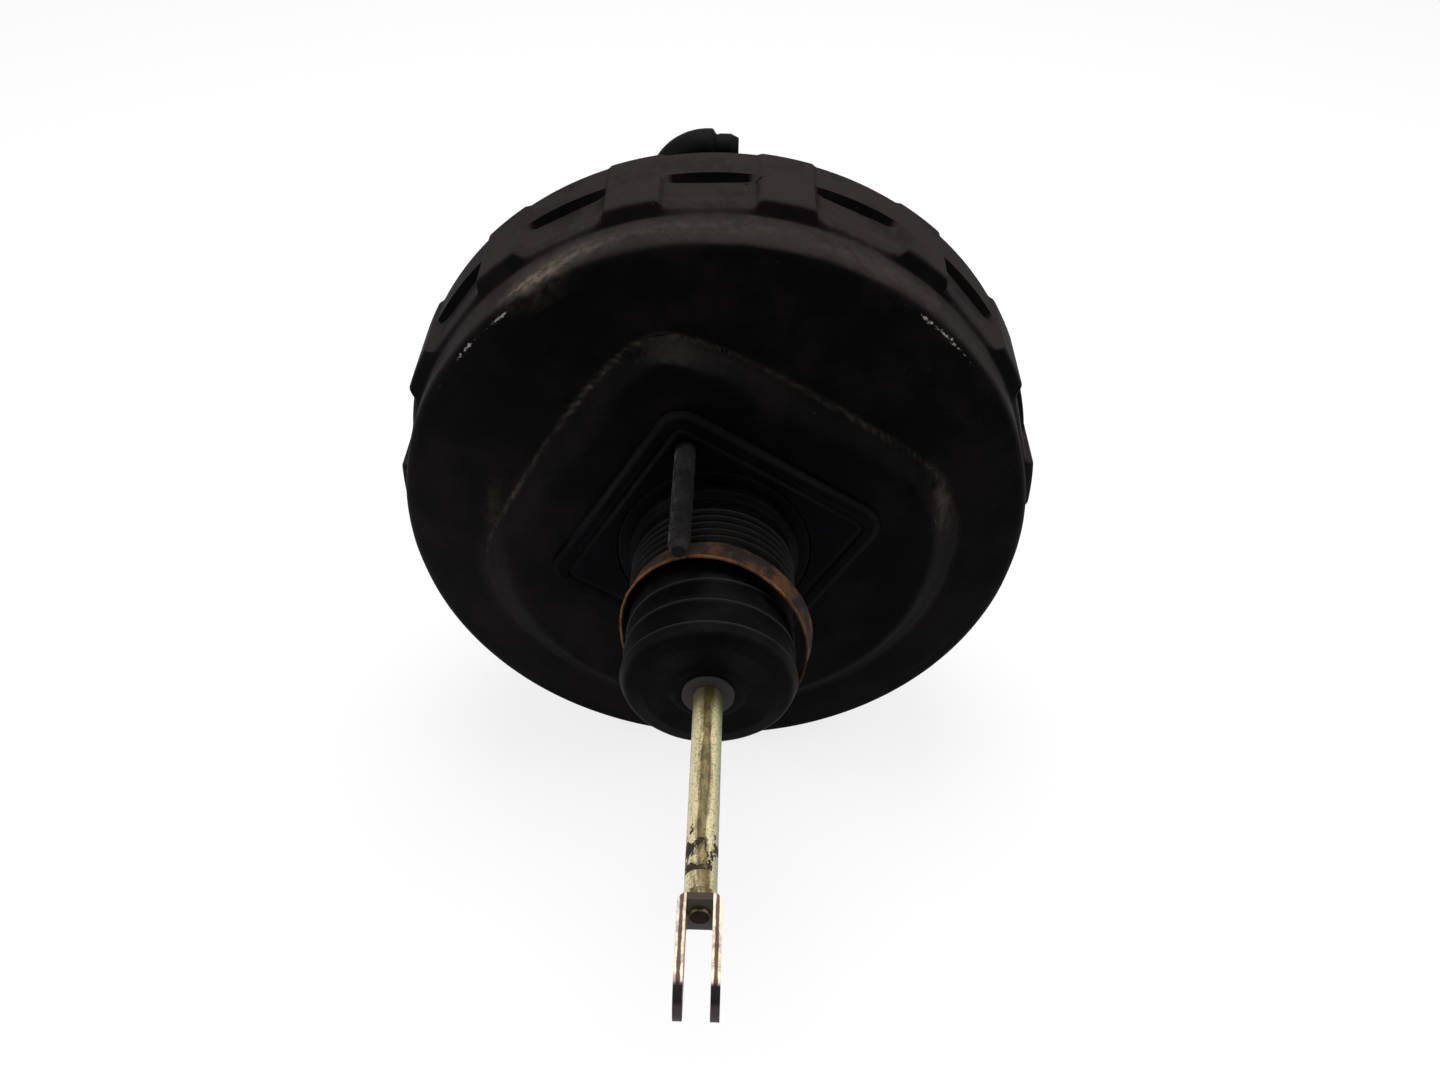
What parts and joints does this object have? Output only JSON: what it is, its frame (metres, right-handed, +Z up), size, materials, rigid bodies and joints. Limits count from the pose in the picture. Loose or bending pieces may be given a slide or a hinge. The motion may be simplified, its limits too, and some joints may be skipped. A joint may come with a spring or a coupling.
{
  "type": "brake booster",
  "caption": "Round vacuum brake booster with bulkhead studs, rubber boot, clevis pushrod, check valve and master cylinder mount.",
  "frame": {"origin": "centre of the two bulkhead studs, in the plane where the rear gasket meets the bulkhead", "axes": "+Y from the pedal side to the master cylinder side along the drum axis, +Z up, +X to the right seen from the pedal"},
  "size_m": [0.265, 0.3627, 0.2636],
  "materials": {
    "black_paint": "satin black paint over pressed steel",
    "zinc_steel": "dull zinc plate",
    "yellow_zinc": "yellow passivated zinc with dark corrosion",
    "rusty_steel": "rusted steel",
    "spring_steel": "oiled spring steel",
    "black_rubber": "matte black rubber",
    "gasket_fibre": "blue-black gasket sheet",
    "black_resin": "moulded phenolic",
    "gloss_plastic": "glossy black nylon",
    "grey_nylon": "dull grey-white nylon",
    "fleece": "filter fleece"
  },
  "bodies": {
    "shell": {"rear_shell": "black_paint", "rear_plate": "zinc_steel", "rear_studs": "zinc_steel", "bulkhead_gasket": "gasket_fibre", "front_shell": "black_paint", "front_plate": "zinc_steel", "front_studs": "zinc_steel", "seal_ring": "black_rubber", "neck_seal": "black_rubber", "neck_bush": "grey_nylon", "boot": "black_rubber", "boot_band": "rusty_steel", "diaphragm": "black_rubber", "return_spring": "spring_steel", "check_grommet": "black_rubber", "check_base": "gloss_plastic", "check_cap": "gloss_plastic", "check_spring": "spring_steel"},
    "power_piston": {"valve_body": "black_resin", "diaphragm_plate": "zinc_steel", "stop_key": "zinc_steel", "reaction_disc": "black_rubber", "output_rod": "zinc_steel", "output_adjuster": "zinc_steel", "output_retainer": "zinc_steel", "air_filter": "fleece", "silencer": "fleece", "tail_cap": "grey_nylon", "poppet_retainer": "zinc_steel", "poppet_cuff": "black_rubber", "poppet_spring": "spring_steel", "input_spring": "spring_steel"},
    "poppet": {"poppet_valve": "black_rubber"},
    "plunger": {"control_plunger": "zinc_steel"},
    "pushrod": {"input_pushrod": "yellow_zinc", "rod_seat": "zinc_steel", "clevis_fork": "yellow_zinc", "boot_bush": "grey_nylon"},
    "check_disc": {"check_disc": "black_rubber"}
  },
  "joints": [
    {"name": "power_piston_slide", "type": "slide", "parent": "shell", "child": "power_piston", "axis": [0, 1, 0], "range_m": [0, 0.032], "stiffness_N_per_m": 2000, "springref_m": -0.03, "deforming": ["boot", "diaphragm", "return_spring"]},
    {"name": "plunger_slide", "type": "slide", "parent": "power_piston", "child": "plunger", "axis": [0, 1, 0], "range_m": [0, 0.002], "stiffness_N_per_m": 3000, "springref_m": -0.01, "deforming": ["input_spring"]},
    {"name": "poppet_slide", "type": "slide", "parent": "power_piston", "child": "poppet", "axis": [0, 1, 0], "range_m": [0, 0.001], "deforming": ["poppet_spring", "poppet_cuff"]},
    {"name": "pushrod_swivel", "type": "hinge", "parent": "plunger", "child": "pushrod", "pos_m": [0, -0.002, 0], "axis": [1, 0, 0], "range_deg": [-3, 3], "stiffness_Nm_per_rad": 15},
    {"name": "check_disc_slide", "type": "slide", "parent": "shell", "child": "check_disc", "axis": [0, 1, 0], "range_m": [0, 0.0015], "stiffness_N_per_m": 20, "springref_m": -0.002, "deforming": ["check_spring"]}
  ],
  "couplings": [
    {"joint": "poppet_slide", "follows": "plunger_slide", "ratio": 0.5}
  ]
}
